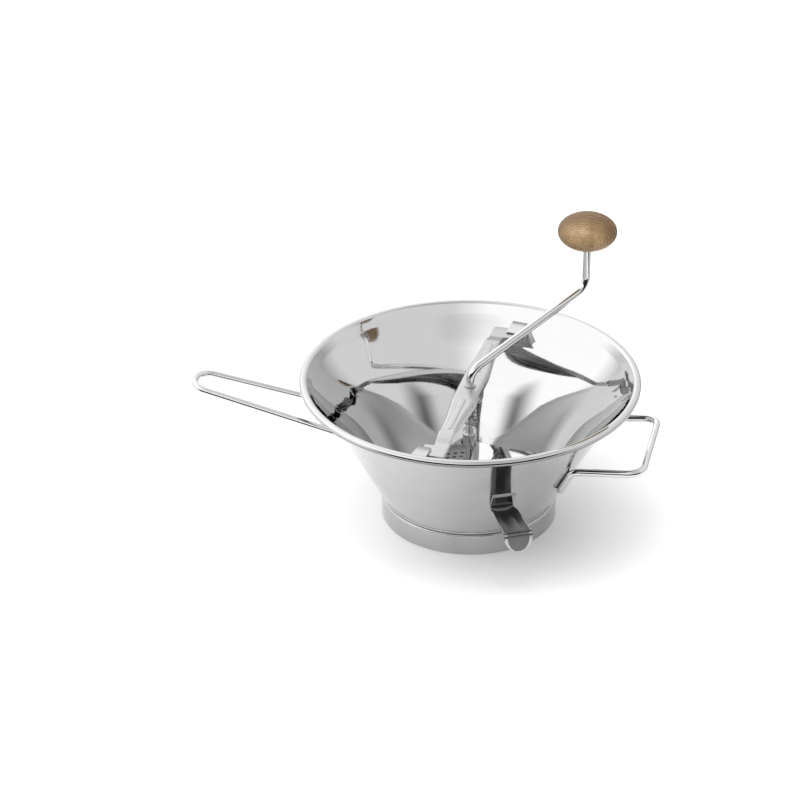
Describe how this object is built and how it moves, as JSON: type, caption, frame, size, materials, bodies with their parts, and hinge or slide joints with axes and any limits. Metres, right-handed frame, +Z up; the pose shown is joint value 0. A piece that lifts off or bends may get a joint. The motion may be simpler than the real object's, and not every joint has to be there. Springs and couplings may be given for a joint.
{
  "type": "food mill",
  "caption": "Hand-cranked steel food mill: flared bowl on a base band, strainer disc, pressing blade on a cranked shaft with a wooden knob, locking cross bar, two wire handles and a pot hook.",
  "frame": {"origin": "centre of the base band's bottom edge, on the surface that the mill stands on", "axes": "+Z up along the shaft, +X towards the short helper handle, -X towards the long handle"},
  "size_m": [0.3481, 0.25, 0.2105],
  "materials": {
    "polished_steel": "mirror polished stainless sheet, satin outside",
    "bright_wire": "polished stainless wire",
    "stamped_steel": "stamped stainless sheet, lightly polished",
    "satin_steel": "satin stainless sheet",
    "spring_steel": "drawn spring steel",
    "knob_wood": "turned beech, oiled"
  },
  "bodies": {
    "bowl": {"bowl": "polished_steel", "base_band": "polished_steel", "long_handle": "bright_wire", "helper_handle": "bright_wire", "pot_hook": "stamped_steel", "lock_lugs": "stamped_steel"},
    "disc": {"strainer_disc": "satin_steel", "disc_eyelet": "satin_steel"},
    "bar": {"cross_bar": "satin_steel", "shaft_bush": "stamped_steel", "blade_spring": "spring_steel"},
    "washer": {"thrust_washer": "spring_steel"},
    "crank": {"crank_rod": "bright_wire", "thrust_pin": "spring_steel", "upper_collar": "stamped_steel", "lower_collar": "stamped_steel", "collar_pins": "spring_steel", "pressing_blade": "polished_steel", "knob_ring": "spring_steel"},
    "knob": {"knob": "knob_wood", "knob_ferrule": "stamped_steel"}
  },
  "joints": [
    {"name": "bar_lock", "type": "hinge", "parent": "bowl", "child": "bar", "pos_m": [0, 0, 0.1], "axis": [0, 0, 1], "range_deg": [0, 160]},
    {"name": "blade_lift", "type": "slide", "parent": "bar", "child": "washer", "axis": [0, 0, 1], "range_m": [0, 0.004], "stiffness_N_per_m": 2000, "springref_m": -0.006, "deforming": ["blade_spring"]},
    {"name": "crank_turn", "type": "hinge", "parent": "washer", "child": "crank", "pos_m": [0, 0, 0.06], "axis": [0, 0, 1], "continuous": true},
    {"name": "knob_spin", "type": "hinge", "parent": "crank", "child": "knob", "pos_m": [0.07071, 0.08427, 0.19], "axis": [0, 0, 1], "continuous": true},
    {"name": "disc_turn", "type": "hinge", "parent": "bowl", "child": "disc", "pos_m": [0, 0, 0.0175], "axis": [0, 0, 1], "continuous": true}
  ]
}
